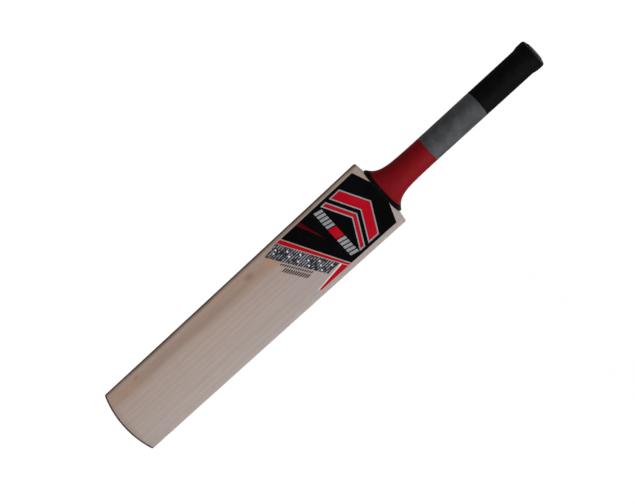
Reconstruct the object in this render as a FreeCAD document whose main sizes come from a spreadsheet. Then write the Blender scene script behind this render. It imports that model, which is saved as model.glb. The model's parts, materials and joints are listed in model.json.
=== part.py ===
import FreeCAD
import Part
import Sketcher
import math
import os
from FreeCAD import Placement, Rotation, Vector

# A full-size cricket bat standing on its toe.
# +Z runs up the bat to the end of the handle, -Y is the hitting face, X runs across.
# The origin is under the middle of the bat, level with the lowest point of the toe.

SIZES = [
    # whole bat
    ("total_length", 820.0, "toe to end of handle"),
    ("blade_width", 108.0, "the widest blade that the laws of the game allow"),
    ("shoulder_level", 533.0, "height of the two shoulder corners"),
    ("shoulder_root", 534.2, "height where the shoulder line reaches the neck"),
    ("root_half_width", 40.0, "half width of the neck at that height"),
    ("face_line", -32.25, "Y of the face at the toe and at the shoulders"),
    ("handle_line", -11.95, "Y of the handle's centre line"),
    # the hitting face, a surface of revolution about a line across the bat
    ("crown_radius", 1000.0, "side-to-side rounding of the face"),
    ("bow_radius", 3950.0, "toe-to-shoulder hollow of the face"),
    # toe
    ("toe_radius", 150.0, "rounding of the toe seen from the front"),
    ("guard_thickness", 3.0, "rubber toe guard"),
    # back of the blade
    ("blank_half_width", 60.0, "half width of the blank before the edges are cut"),
    ("ridge_half_width", 15.0, "half width of the rounded ridge"),
    ("round_front", 2.0, "rounding of the long front edges"),
    ("round_back", 3.5, "rounding of the long back edges"),
    ("round_toe_corner", 3.0, "rounding of the two toe corners"),
    ("round_toe_rim", 1.2, "rounding round the toe guard"),
    ("round_shoulder_corner", 2.0, "rounding of the two shoulder corners"),
    ("round_shoulder_front", 1.5, "rounding of the shoulder line in front"),
    ("round_shoulder_back", 7.0, "rounding of the shoulder line behind"),
    # splice and cane handle
    ("splice_bottom", 385.0, "height of the tip of the V splice"),
    ("splice_tip_half", 1.5, "half width of that tip"),
    ("splice_top", 560.0, "height where the V has its full width"),
    ("splice_top_half", 17.6, "half width of the V there"),
    ("wood_top", 572.0, "top of the willow beside the handle"),
    ("cane_radius", 17.0, "round part of the cane handle"),
    ("cane_top", 816.0, "upper end of the cane"),
    ("cane_seam", 5.7, "glue lines that part the cane into three across"),
    ("spring_pitch", 8.6, "distance between the rubber springs"),
    ("spring_half", 0.8, "half thickness of a rubber spring"),
    # neck, binding and grip
    ("binding_depth", 2.25, "wall of the neck tape and of the grip"),
    ("grip_radius", 20.25, "outside of the grip"),
    ("neck_top", 640.0, "height where the neck has become round"),
    ("tape_top", 540.0, "joint between neck tape and grip"),
    ("red_top", 621.8, "joint between the red and the grey rubber"),
    ("grey_top", 714.8, "joint between the grey and the black rubber"),
    ("red_slant", 7.9, "tilt of that joint in degrees"),
    ("grey_slant", 15.7, "tilt of that joint in degrees"),
    ("sleeve_start", 700.0, "lower end of the round blank for the black rubber"),
    ("knob_start", 798.0, "where the grip begins to swell"),
    ("knob_full", 806.5, "where the swelling is complete"),
    ("knob_radius", 21.8, "outside of the swelling"),
    ("rim_top", 818.6, "top of the rubber rim"),
    ("rim_round", 3.6, "bevel of the rubber rim"),
    ("disc_radius", 15.0, "cap in the end of the handle"),
    ("disc_bevel", 1.0, "bevel round that cap"),
    # printed face labels
    ("layer_one", 0.25, "height of a label above the wood"),
    ("layer_two", 0.4, "height of a print above the label"),
    ("layer_three", 0.55, "height of a print above another print"),
    ("panel_half", 46.5, "half width of the dark panel"),
    ("panel_left", 379.0, "lower left corner of the panel"),
    ("panel_right", 434.0, "lower right corner of the panel"),
    ("panel_shoulder", 523.0, "where the panel's sides end"),
    ("panel_top", 534.1, "top of the panel, under the neck tape"),
    ("panel_top_half", 20.0, "half width of the panel there"),
    ("label_rise", 55.0, "how much a slanted label climbs from edge to edge of the panel"),
    ("stripe_gap", 2.0, "bare wood between panel and stripe"),
    ("stripe_left", 7.5, "height of the stripe at its left end"),
    ("stripe_right", 3.2, "height of the stripe at its right end"),
    ("band_gap", 1.6, "bare wood between stripe and band"),
    ("band_left", 28.5, "height of the band at its left end"),
    ("band_inset", 3.5, "how far its lower left corner is drawn in"),
    ("band_right", 23.5, "height of the band at its right end"),
    ("band_end", 35.8, "X of the band's right end"),
    ("flash_tip_x", 44.3, "X of the flash's lower tip"),
    ("flash_tip_z", 371.5, "height of that tip"),
    ("flash_top_x", 38.6, "X of the flash's upper left corner"),
    ("flash_edging", 2.2, "pale edging beside the flash"),
    ("tick_length", 4.2, "first row of ticks under the band"),
    ("tick_tall", 8.2, "second row of ticks"),
    ("tick_width", 1.6, "width of a tick"),
    ("tick_pitch", 2.7, "distance between ticks"),
    ("tick_gap", 2.3, "distance between the band and the first row, and between the rows"),
    ("dot_radius", 1.5, "dots on the band"),
    ("slash_left_low", 408.5, "slash on the panel, at the panel's side"),
    ("slash_left_high", 416.5, "slash on the panel, at the panel's side"),
    ("slash_tip_x", -4.5, "X of the slash's tip"),
    ("slash_tip_z", 429.5, "height of the slash's tip"),
    ("bars_bottom", 440.5, "lower edge of the row of bars"),
    ("bars_top", 454.0, "upper edge of the row of bars"),
    ("bar_pitch", 6.2, "distance between bars"),
    ("bar_width", 4.4, "width of a bar"),
    ("bar_lean", 3.0, "sideways lean of a bar"),
    ("bar_middle", 8.6, "half width of the red bar in the middle"),
    ("chevron_half", 42.0, "half width of the chevrons"),
    ("chevron_drop", 24.0, "how far a chevron falls from its point to its ends"),
    ("chevron_top", 517.0, "point of the upper chevron"),
    ("chevron_second", 489.5, "point of the lower chevron"),
    ("chevron_deep", 21.0, "height of the upper chevron's arms"),
    ("chevron_thin", 10.5, "height of the lower chevron's arms"),
    ("chevron_edging", 1.9, "silver edging round the chevrons"),
]

# Height, spine depth and edge depth of each section of the blade, measured from the face line.
BACK = [
    ("back_toe", -6.0, 33.5, 26.5),
    ("back_low", 55.0, 48.0, 33.5),
    ("back_rise", 130.0, 60.0, 39.5),
    ("back_swell", 215.0, 66.0, 41.5),
    ("back_fall", 310.0, 62.0, 39.5),
    ("back_high", 400.0, 52.5, 34.0),
    ("back_sticker", 470.0, 44.5, 25.0),
    ("back_neck", 545.0, 39.0, 14.0),
]


def make_sheet(doc):
    sheet = doc.addObject("Spreadsheet::Sheet", "Sizes")
    row = 1
    for alias, value, note in SIZES:
        write_size(sheet, row, alias, value, note)
        row += 1
    for station, height, spine, edge in BACK:
        write_size(sheet, row, station + "_height", height, "height of the section")
        write_size(sheet, row + 1, station + "_spine", spine, "face line to ridge")
        write_size(sheet, row + 2, station + "_edge", edge, "face line to back of the edge")
        row += 3
    doc.recompute()
    return sheet


def write_size(sheet, row, alias, value, note):
    sheet.set("A%d" % row, alias)
    sheet.set("B%d" % row, str(value))
    sheet.set("C%d" % row, note)
    sheet.setAlias("B%d" % row, alias)


doc = FreeCAD.newDocument("CricketBat")
sheet = make_sheet(doc)


def size(alias):
    return float(sheet.get(alias))


def named(alias):
    return "Sizes." + alias


def origin_plane(body, role):
    for feature in body.Origin.OriginFeatures:
        if feature.Role == role:
            return feature
    raise ValueError(role)


def origin_axis(body):
    return origin_plane(body, "Z_Axis")


def outline(body, name, corners, arcs=None):
    """A closed outline on the body's XZ plane, each corner held at its two written sizes.

    arcs gives, for a side's number, the radius of the arc that it is, bulging down.
    """
    sketch = body.newObject("Sketcher::SketchObject", name)
    sketch.AttachmentSupport = [(origin_plane(body, "XZ_Plane"), "")]
    sketch.MapMode = "FlatFace"
    arcs = arcs or {}
    points = [Vector(at_size(sketch, x), at_size(sketch, z), 0) for x, z in corners]
    count = len(points)
    for side in range(count):
        start = points[side]
        end = points[(side + 1) % count]
        if side in arcs:
            radius = at_size(sketch, arcs[side])
            half = abs(end.x - start.x) / 2
            sag = radius - math.sqrt(radius * radius - half * half)
            middle = Vector((start.x + end.x) / 2, start.y - sag, 0)
            sketch.addGeometry(Part.Arc(start, middle, end))
        else:
            sketch.addGeometry(Part.LineSegment(start, end))
    for side in range(count):
        leaving = arc_end(arcs, corners, side, True)
        arriving = arc_end(arcs, corners, (side + 1) % count, False)
        sketch.addConstraint(Sketcher.Constraint("Coincident", side, leaving, (side + 1) % count, arriving))
        if side in arcs:
            bind(sketch, Sketcher.Constraint("Radius", side, at_size(sketch, arcs[side])), arcs[side])
    for corner, (x, z) in enumerate(corners):
        end = arc_end(arcs, corners, corner, False)
        bind(sketch, Sketcher.Constraint("DistanceX", -1, 1, corner, end, points[corner].x), x)
        bind(sketch, Sketcher.Constraint("DistanceY", -1, 1, corner, end, points[corner].y), z)
    return sketch


def arc_end(arcs, corners, side, last):
    """Number of a side's first or last point: an arc drawn from right to left starts at its far end."""
    runs_left = side in arcs and not corners[side][0].startswith("-")
    return 2 if last != runs_left else 1


def at_size(holder, formula):
    value = holder.evalExpression(formula)
    return float(getattr(value, "Value", value))


def bind(sketch, constraint, formula):
    number = sketch.addConstraint(constraint)
    sketch.setExpression("Constraints[%d]" % number, formula)


def plate(name, corners, arcs=None):
    """A thick plate with the given front outline, for cutting a layer or a blank to shape."""
    body = doc.addObject("PartDesign::Body", name)
    sketch = outline(body, name + "_outline", corners, arcs)
    pad = body.newObject("PartDesign::Pad", name + "_pad")
    pad.Profile = sketch
    pad.SideType = "Symmetric"
    pad.Length = 200
    return body


def turned(name, corners):
    """A body turned about the handle's centre line from (radius, height) corners."""
    body = doc.addObject("PartDesign::Body", name)
    sketch = outline(body, name + "_profile", corners)
    spin = body.newObject("PartDesign::Revolution", name + "_turn")
    spin.Profile = sketch
    spin.ReferenceAxis = (origin_axis(body), [""])
    spin.Angle = 360
    body.setExpression("Placement.Base.y", named("handle_line"))
    return body


def both(name, first, second):
    common = doc.addObject("Part::Common", name)
    common.Base = first
    common.Tool = second
    return common


def less(name, base, tool):
    cut = doc.addObject("Part::Cut", name)
    cut.Base = base
    cut.Tool = tool
    return cut


def joined(name, first, second):
    fuse = doc.addObject("Part::Fuse", name)
    fuse.Base = first
    fuse.Tool = second
    return fuse


def labelled(item, label):
    item.Label = label
    return item


# ---- blade ----

def section_wire(height, spine, edge):
    """One cross section: flat in front, two hollow flanks and a rounded ridge behind."""
    wide = size("blank_half_width")
    ridge = size("ridge_half_width")
    front = size("face_line") - 20
    crest = size("face_line") + spine
    back_edge = size("face_line") + edge
    lean = 1.7 * math.atan((spine - edge) / wide)
    ridge_radius = ridge / math.sin(lean)
    shoulder = crest - ridge_radius * (1 - math.cos(lean))
    left_front = Vector(-wide, front, height)
    right_front = Vector(wide, front, height)
    right_edge = Vector(wide, back_edge, height)
    left_edge = Vector(-wide, back_edge, height)
    right_ridge = Vector(ridge, shoulder, height)
    left_ridge = Vector(-ridge, shoulder, height)
    top = Vector(0, crest, height)
    right_hollow = Part.BezierCurve()
    right_hollow.setPoles([right_edge, Vector(wide * 0.62, edge_pull(back_edge, shoulder, 0.08), height),
                           right_ridge + Vector(math.cos(lean), -math.sin(lean), 0) * 12, right_ridge])
    left_hollow = Part.BezierCurve()
    left_hollow.setPoles([left_ridge, left_ridge + Vector(-math.cos(lean), -math.sin(lean), 0) * 12,
                          Vector(-wide * 0.62, edge_pull(back_edge, shoulder, 0.08), height), left_edge])
    sides = [
        Part.LineSegment(left_front, right_front),
        Part.LineSegment(right_front, right_edge),
        right_hollow,
        Part.Arc(right_ridge, top, left_ridge),
        left_hollow,
        Part.LineSegment(left_edge, left_front),
    ]
    return Part.Wire([side.toShape() for side in sides])


def edge_pull(back_edge, shoulder, share):
    return back_edge + share * (shoulder - back_edge)


def make_blank(name):
    """The blade's blank, lofted through its sections."""
    wires = []
    for station, height, spine, edge in BACK:
        sizes = [size(station + part) for part in ("_height", "_spine", "_edge")]
        wires.append(section_wire(*sizes))
    blank = doc.addObject("Part::Feature", name)
    blank.Shape = Part.makeLoft(wires, True, False, False, 3)
    blank.Placement = Placement()
    return blank


def face_ring(name, height_above):
    """A ring whose inner side is the hitting face, raised by the given label height."""
    ring = doc.addObject("Part::Torus", name)
    ring.setExpression("Radius1", "Sizes.bow_radius + Sizes.crown_radius")
    ring.setExpression("Radius2", "Sizes.crown_radius + " + height_above)
    middle = "Sizes.shoulder_level / 2"
    dip = "(Sizes.bow_radius - sqrt(Sizes.bow_radius^2 - (%s)^2))" % middle
    ring.Placement = Placement(Vector(), Rotation(Vector(0, 1, 0), 90))
    ring.setExpression("Placement.Base.y", "Sizes.face_line + %s - Sizes.bow_radius" % dip)
    ring.setExpression("Placement.Base.z", middle)
    return ring


def arc_height(radius, reach):
    """Height of a toe arc of that radius at that distance from the middle."""
    return "Sizes.toe_radius - sqrt((%s)^2 - (%s)^2)" % (radius, reach)


HALF = "Sizes.blade_width / 2"
WOOD_RADIUS = "Sizes.toe_radius - Sizes.guard_thickness"


def make_front_outline():
    """The bat's blade seen from the front: straight sides, square shoulders and a round toe."""
    corners = [
        ("-" + HALF, arc_height("Sizes.toe_radius", HALF)),
        (HALF, arc_height("Sizes.toe_radius", HALF)),
        (HALF, named("shoulder_level")),
        (named("root_half_width"), named("shoulder_root")),
        ("-" + named("root_half_width"), named("shoulder_root")),
        ("-" + HALF, named("shoulder_level")),
    ]
    return plate("blade_front_shape", corners, {0: "Sizes.toe_radius"})


def make_guard_joint():
    """Everything above the joint between the toe guard and the wood."""
    reach = "Sizes.blank_half_width + 10"
    left = "-(%s)" % reach
    corners = [
        (left, arc_height(WOOD_RADIUS, reach)),
        (reach, arc_height(WOOD_RADIUS, reach)),
        (reach, named("total_length")),
        (left, named("total_length")),
    ]
    return plate("above_the_guard", corners, {0: WOOD_RADIUS})


def edge_radius(edge):
    """Rounding of one edge of the sawn blade, or 0 for an edge that stays sharp."""
    first = edge.Vertexes[0].Point
    last = edge.Vertexes[-1].Point
    half = size("blade_width") / 2
    on_side = [abs(abs(end.x) - half) < 0.1 for end in (first, last)]
    in_front = first.y + last.y < 2 * size("face_line") + 16
    at_toe = max(first.z, last.z) < 20
    at_shoulder = min(first.z, last.z) > size("shoulder_level") - 1
    runs_back = abs(first.x - last.x) < 0.1 and abs(first.z - last.z) < 0.1
    if runs_back:
        if not all(on_side):
            return 0
        return size("round_toe_corner") if at_toe else size("round_shoulder_corner")
    if at_toe:
        return size("round_toe_rim")
    if at_shoulder and any(on_side):
        return size("round_shoulder_front") if in_front else size("round_shoulder_back")
    if all(on_side):
        return size("round_front") if in_front else size("round_back")
    return 0


def make_rounded(sawn):
    """The sawn blade with its outer edges sanded round."""
    doc.recompute()
    rounded = doc.addObject("Part::Fillet", "blade_rounded")
    rounded.Base = sawn
    radii = [(number, edge_radius(edge)) for number, edge in enumerate(sawn.Shape.Edges, 1)]
    rounded.Edges = [(number, radius, radius) for number, radius in radii if radius]
    return rounded


def make_splice():
    corners = [
        ("-" + named("splice_tip_half"), named("splice_bottom")),
        (named("splice_tip_half"), named("splice_bottom")),
        (named("splice_top_half"), named("splice_top")),
        (named("splice_top_half"), named("wood_top")),
        ("-" + named("splice_top_half"), named("wood_top")),
        ("-" + named("splice_top_half"), named("splice_top")),
    ]
    return plate("splice_front_shape", corners)


# ---- neck, handle and grip ----

NECK_HEIGHTS = [531.5, 534.0, 537.0, 541.0, 546.0, 553.0, 563.0, 575.0,
                590.0, 606.0, 622.0, 640.0, 662.0, 695.0, 740.0]


def neck_section(height, inset):
    """Outline of the neck at one height: boxy beside the shoulders, round further up."""
    up = height - size("shoulder_level")
    fade = max(0, size("neck_top") - height) / (size("neck_top") - size("shoulder_level"))
    half_width = size("grip_radius") + 19 * math.exp(-up / 11.5) + 1.2 * fade * fade - inset
    half_depth = size("grip_radius") + 0.6 * fade * fade - inset
    boxy = 2 + 1.2 * math.exp(-up / 16)
    points = []
    for step in range(24):
        turn = math.radians(15 * step)
        x = half_width * math.copysign(abs(math.cos(turn)) ** (2 / boxy), math.cos(turn))
        y = half_depth * math.copysign(abs(math.sin(turn)) ** (2 / boxy), math.sin(turn))
        points.append(Vector(x, y, height))
    curve = Part.BSplineCurve()
    curve.interpolate(points, PeriodicFlag=True)
    return Part.Wire([curve.toShape()])


def make_neck(name, inset):
    neck = doc.addObject("Part::Feature", name)
    wires = [neck_section(height, inset) for height in NECK_HEIGHTS]
    neck.Shape = Part.makeLoft(wires, True, False, False, 3)
    neck.Placement = Placement(Vector(0, size("handle_line"), 0), Rotation())
    return neck


def make_sleeve():
    """Outside of the black rubber, up to its rim."""
    knob = named("knob_radius")
    rim = named("rim_top")
    corners = [
        ("0", named("sleeve_start")),
        (named("grip_radius"), named("sleeve_start")),
        (named("grip_radius"), named("knob_start")),
        (knob, named("knob_full")),
        (knob, rim + " - Sizes.rim_round"),
        (knob + " - 0.3 * Sizes.rim_round", rim + " - 0.3 * Sizes.rim_round"),
        (knob + " - Sizes.rim_round", rim),
        ("0", rim),
    ]
    return turned("sleeve_outside", corners)


def make_bore():
    """Inside of the black rubber: the bound handle, and the opening in the rim."""
    inside = "Sizes.grip_radius - Sizes.binding_depth"
    corners = [
        ("0", named("sleeve_start")),
        (inside, named("sleeve_start")),
        (inside, named("cane_top")),
        (named("disc_radius"), named("cane_top")),
        (named("disc_radius"), named("rim_top") + " + 5"),
        ("0", named("rim_top") + " + 5"),
    ]
    return turned("sleeve_inside", corners)


def make_binding():
    """Twine on the round part of the cane, as one plain sleeve."""
    inside = named("cane_radius")
    outside = "Sizes.grip_radius - Sizes.binding_depth"
    corners = [
        (inside, named("wood_top")),
        (outside, named("wood_top")),
        (outside, named("cane_top")),
        (inside, named("cane_top")),
    ]
    return labelled(turned("binding_body", corners), "twine_binding")


def make_end_cap():
    corners = [
        ("0", named("cane_top")),
        (named("disc_radius"), named("cane_top")),
        (named("disc_radius"), "Sizes.total_length - Sizes.disc_bevel"),
        ("Sizes.disc_radius - Sizes.disc_bevel", named("total_length")),
        ("0", named("total_length")),
    ]
    return labelled(turned("end_cap_body", corners), "end_cap")


def half_space(name, height, slant, above):
    """Everything above or below a joint plane; the plane drops toward the back by its slant."""
    block = doc.addObject("Part::Box", name)
    block.Length = 300
    block.Width = 300
    block.Height = 400
    tilt = Rotation(Vector(1, 0, 0), -size(slant)) if slant else Rotation()
    corner = tilt.multVec(Vector(-150, -150, 0 if above else -400))
    block.Placement = Placement(Vector(0, size("handle_line"), size(height)) + corner, tilt)
    return block


def between(name, solid, low, high):
    """The stretch of a solid between two (height, slant) joints."""
    upper = less(name + "_from_low", solid, half_space(name + "_low", low[0], low[1], False))
    return less(name + "_stretch", upper, half_space(name + "_high", high[0], high[1], True))


def make_round_cane():
    cane = doc.addObject("Part::Cylinder", "round_cane")
    cane.setExpression("Radius", named("cane_radius"))
    cane.setExpression("Height", "Sizes.cane_top - Sizes.wood_top")
    cane.setExpression("Placement.Base.y", named("handle_line"))
    cane.setExpression("Placement.Base.z", named("wood_top"))
    return cane


def handle_block(name, left, right, front, back):
    """A tall block whose sides are written as sizes, measured from the handle's centre line."""
    block = doc.addObject("Part::Box", name)
    block.setExpression("Length", "%s - (%s)" % (right, left))
    block.setExpression("Width", "%s - (%s)" % (back, front))
    block.setExpression("Height", named("total_length"))
    block.setExpression("Placement.Base.x", left)
    block.setExpression("Placement.Base.y", "Sizes.handle_line + (%s)" % front)
    return block


def handle_piece(name, block, handle):
    """One layer or cane: its length in the V splice and its length in the round handle, in one piece."""
    wood, splice, cane = handle
    doc.recompute()
    strip = splice.Shape.common(block.Shape)
    piece = doc.addObject("Part::Feature", name + "_solid")
    piece.Shape = wood.Shape.common(strip).fuse(cane.Shape.common(block.Shape))
    return labelled(piece, name)


def cut_splice(wood, splice):
    """The willow with the V for the handle sawn out of it."""
    doc.recompute()
    blade = doc.addObject("Part::Feature", "blade_solid")
    blade.Shape = wood.Shape.cut(splice.Shape)
    return labelled(blade, "blade")


def make_canes(handle):
    """Twelve canes, three across in each of four layers."""
    columns = [
        ("left", "-60", "-Sizes.cane_seam"),
        ("middle", "-Sizes.cane_seam", "Sizes.cane_seam"),
        ("right", "Sizes.cane_seam", "60"),
    ]
    rows = [
        ("front", "-60", "-Sizes.spring_pitch - Sizes.spring_half"),
        ("front_inner", "-Sizes.spring_pitch + Sizes.spring_half", "-Sizes.spring_half"),
        ("back_inner", "Sizes.spring_half", "Sizes.spring_pitch - Sizes.spring_half"),
        ("back", "Sizes.spring_pitch + Sizes.spring_half", "60"),
    ]
    canes = []
    for row, front, back in rows:
        for column, left, right in columns:
            name = "cane_%s_%s" % (row, column)
            block = handle_block(name + "_block", left, right, front, back)
            canes.append(handle_piece(name, block, handle))
    return canes


def make_springs(handle):
    """Three sheets of rubber between the layers of cane."""
    springs = []
    for place, middle in (("front", "-Sizes.spring_pitch"), ("middle", "0"), ("back", "Sizes.spring_pitch")):
        name = "rubber_spring_" + place
        block = handle_block(name + "_block", "-60", "60", middle + " - Sizes.spring_half",
                             middle + " + Sizes.spring_half")
        springs.append(handle_piece(name, block, handle))
    return springs


# ---- printed labels on the face ----

def label(name, corners, layer):
    """A flat printed piece with straight sides, lying on the curved face."""
    return labelled(both(name + "_solid", layer, plate(name + "_shape", corners)), name)


def group_label(name, outlines, layer):
    """Several separate prints of one colour that are laid down together."""
    faces = []
    for points in outlines:
        ring = [Vector(x, -100, z) for x, z in points]
        faces.append(Part.Face(Part.makePolygon(ring + [ring[0]])))
    prisms = doc.addObject("Part::Feature", name + "_shapes")
    prisms.Shape = Part.makeCompound([face.extrude(Vector(0, 200, 0)) for face in faces])
    prisms.Placement = Placement()
    return labelled(both(name + "_solid", layer, prisms), name)


def slant(height, x):
    """Height at x of a line that starts at the panel's left side and climbs with the labels."""
    return "%s + Sizes.label_rise * (%s + Sizes.panel_half) / (2 * Sizes.panel_half)" % (height, x)


def make_panel(layer):
    side = named("panel_half")
    corners = [
        ("-" + side, named("panel_left")),
        (side, named("panel_right")),
        (side, named("panel_shoulder")),
        (named("panel_top_half"), named("panel_top")),
        ("-" + named("panel_top_half"), named("panel_top")),
        ("-" + side, named("panel_shoulder")),
    ]
    return label("face_panel", corners, layer)


STRIPE_TOP = "Sizes.panel_left - Sizes.stripe_gap"
BAND_TOP = STRIPE_TOP + " - Sizes.stripe_left - Sizes.band_gap"
BAND_RISE = "(Sizes.label_rise + Sizes.stripe_left - Sizes.stripe_right)"


def band_edge(x):
    """Height at x of the band's top edge, which stays parallel to the stripe's lower edge."""
    return "%s + %s * (%s + Sizes.panel_half) / (2 * Sizes.panel_half)" % (BAND_TOP, BAND_RISE, x)


def make_stripe(layer):
    side = named("panel_half")
    corners = [
        ("-" + side, STRIPE_TOP + " - Sizes.stripe_left"),
        (side, slant(STRIPE_TOP, side) + " - Sizes.stripe_right"),
        (side, slant(STRIPE_TOP, side)),
        ("-" + side, STRIPE_TOP),
    ]
    return label("face_stripe", corners, layer)


def make_band(layer):
    side = named("panel_half")
    end = named("band_end")
    lower_left = "-Sizes.panel_half + Sizes.band_inset"
    corners = [
        (lower_left, band_edge(lower_left) + " - Sizes.band_left"),
        (end, band_edge(end) + " - Sizes.band_right"),
        (end, band_edge(end)),
        ("-" + side, BAND_TOP),
    ]
    return label("face_band", corners, layer)


def make_flash(layer, edging_layer):
    side = named("panel_half")
    top = band_edge(named("flash_top_x"))
    edge = named("flash_edging")
    corners = [
        (named("flash_tip_x"), named("flash_tip_z")),
        (side, named("flash_tip_z") + " + 1"),
        (side, band_edge(side)),
        (named("flash_top_x"), top),
    ]
    border = [
        ("Sizes.flash_tip_x - 0.4", "Sizes.flash_tip_z - 6"),
        (named("flash_tip_x"), named("flash_tip_z")),
        (named("flash_top_x"), top),
        ("Sizes.flash_top_x - " + edge, band_edge("Sizes.flash_top_x - " + edge)),
    ]
    return [label("face_flash", corners, layer), label("flash_edging", border, edging_layer)]


def band_climb():
    """How much the band's top edge rises for each millimetre across."""
    return (size("label_rise") + size("stripe_left") - size("stripe_right")) / (2 * size("panel_half"))


def make_dots(layer):
    """Pale dots scattered over the band: (X, height above the band's middle line)."""
    scatter = [(-40, 1.5), (-38, -5.5), (-27, 5.0), (-20, -2.5), (-11, 6.5), (-6, -6.0),
               (3, 1.0), (9, -7.5), (14, 6.0), (20, -1.0), (26, -8.5), (30, 5.5)]
    middle = size("panel_left") - size("stripe_gap") - size("stripe_left") - size("band_gap") - 12
    climb = band_climb()
    outlines = []
    for x, above in scatter:
        z = middle + climb * (x + size("panel_half")) + above
        outlines.append(ring_points(x, z, size("dot_radius")))
    return group_label("band_dots", outlines, layer)


def ring_points(x, z, radius):
    points = []
    for step in range(12):
        turn = math.radians(30 * step)
        points.append((x + radius * math.cos(turn), z + radius * math.sin(turn)))
    return points


def make_ticks(layer):
    """Two plain rows of short ticks that follow the band's lower edge."""
    half = size("panel_half")
    climb = band_climb()
    start = size("panel_left") - size("stripe_gap") - size("stripe_left") - size("band_gap")
    inset = size("band_inset")
    growth = (size("band_right") - size("band_left")) / (size("band_end") + half - inset)
    gap = size("tick_gap")
    low = size("tick_length")
    outlines = []
    for first, count, drop, height in ((-20.0, 15, gap, low), (-11.0, 12, 2 * gap + low, size("tick_tall"))):
        for step in range(count):
            x = first + step * size("tick_pitch")
            band = size("band_left") + growth * (x + half - inset)
            top = start + climb * (x + half) - band - drop
            right = x + size("tick_width")
            outlines.append([(x, top - height), (right, top - height + 0.6), (right, top + 0.6), (x, top)])
    return group_label("tick_rows", outlines, layer)


def make_slash(layer):
    side = named("panel_half")
    corners = [
        ("-" + side, named("slash_left_low")),
        (named("slash_tip_x"), named("slash_tip_z")),
        ("-" + side, named("slash_left_high")),
    ]
    return label("panel_slash", corners, layer)


def make_bars(layer):
    """A row of leaning silver bars on both sides of one red bar."""
    low = size("bars_bottom")
    high = size("bars_top")
    lean = size("bar_lean")
    silver = []
    for step in range(5):
        x = size("bar_middle") + 1.8 + step * size("bar_pitch")
        for left in (x, -x - size("bar_width")):
            right = left + size("bar_width")
            silver.append([(left - lean / 2, low), (right - lean / 2, low),
                           (right + lean / 2, high), (left + lean / 2, high)])
    middle = size("bar_middle")
    red = [[(-middle - lean / 2, low), (middle - lean / 2, low),
            (middle + lean / 2, high), (-middle + lean / 2, high)]]
    return [group_label("silver_bars", silver, layer), group_label("red_bar", red, layer)]


def chevron(point, depth, inset):
    """Corners of a chevron that points up the bat, drawn in from its edge by the inset."""
    half = size("chevron_half")
    drop = size("chevron_drop")
    along = math.hypot(half, drop) / half * inset
    end = half - inset
    fall = drop * end / half
    low = point - depth + along
    high = point - along
    return [(0, high), (-end, high - fall), (-end, low - fall),
            (0, low), (end, low - fall), (end, high - fall)]


def make_chevrons(silver_layer, red_layer):
    shapes = [(size("chevron_top"), size("chevron_deep")), (size("chevron_second"), size("chevron_thin"))]
    silver = [chevron(point, depth, 0) for point, depth in shapes]
    red = [chevron(point, depth, size("chevron_edging")) for point, depth in shapes]
    return [group_label("chevron_edging", silver, silver_layer), group_label("chevron_fill", red, red_layer)]


def layer_between(name, low, high):
    return less(name, face_ring(name + "_top", high), face_ring(name + "_under", low))


# ---- putting the bat together ----

def check_document():
    for item in doc.Objects:
        if "Invalid" in item.State or "Error" in item.State:
            raise RuntimeError("%s failed: %s" % (item.Name, item.State))


def write_parts(parts):
    os.makedirs("parts", exist_ok=True)
    for part in parts:
        if part.Shape.isNull() or not part.Shape.isValid() or not part.Shape.Solids:
            raise RuntimeError("%s has no valid solid" % part.Label)
        part.Shape.exportStep("parts/%s.step" % part.Label)
        print("%-28s %9.0f mm3" % (part.Label, part.Shape.Volume))


def build():
    envelope = both("blade_envelope", make_blank("blank"), face_ring("face_former", "0"))
    rounded = make_rounded(both("blade_sawn", envelope, make_front_outline()))
    above = make_guard_joint()
    body = both("blade_above_guard", rounded, above)
    guard = labelled(less("toe_guard_solid", rounded, above), "toe_guard")

    neck_outer = make_neck("neck_outer", 0)
    neck_inner = make_neck("neck_inner", size("binding_depth"))
    neck_wood = between("neck_wood", neck_inner, ("shoulder_root", None), ("wood_top", None))
    wood = joined("blade_with_neck", body, neck_wood)
    splice = make_splice()
    blade = cut_splice(wood, splice)

    handle = (wood, splice, make_round_cane())
    inside = make_canes(handle) + make_springs(handle)
    trim = [make_binding(), make_end_cap()]

    neck_shell = less("neck_shell", neck_outer, neck_inner)
    tape = labelled(between("tape", neck_shell, ("shoulder_root", None), ("tape_top", None)), "neck_tape")
    tape_joint = ("tape_top", None)
    red_joint = ("red_top", "red_slant")
    grey_joint = ("grey_top", "grey_slant")
    red = labelled(between("red", neck_shell, tape_joint, red_joint), "grip_red")
    grey = labelled(between("grey", neck_shell, red_joint, grey_joint), "grip_grey")
    sleeve = less("grip_sleeve", make_sleeve(), make_bore())
    black = labelled(between("black", sleeve, grey_joint, ("total_length", None)), "grip_black")

    first = layer_between("first_layer", "0", "Sizes.layer_one")
    second = layer_between("second_layer", "Sizes.layer_one", "Sizes.layer_two")
    third = layer_between("third_layer", "Sizes.layer_two", "Sizes.layer_three")
    labels = [make_panel(first), make_stripe(first), make_band(first), make_dots(second), make_ticks(first)]
    labels += make_flash(first, first)
    labels += [make_slash(second)] + make_bars(second) + make_chevrons(second, third)

    doc.recompute()
    check_document()
    write_parts([blade, guard] + inside + trim + [tape, red, grey, black] + labels)


build()
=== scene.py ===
import json
import math

import bmesh
import bpy
from mathutils import Matrix, Vector
from mathutils.bvhtree import BVHTree


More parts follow.
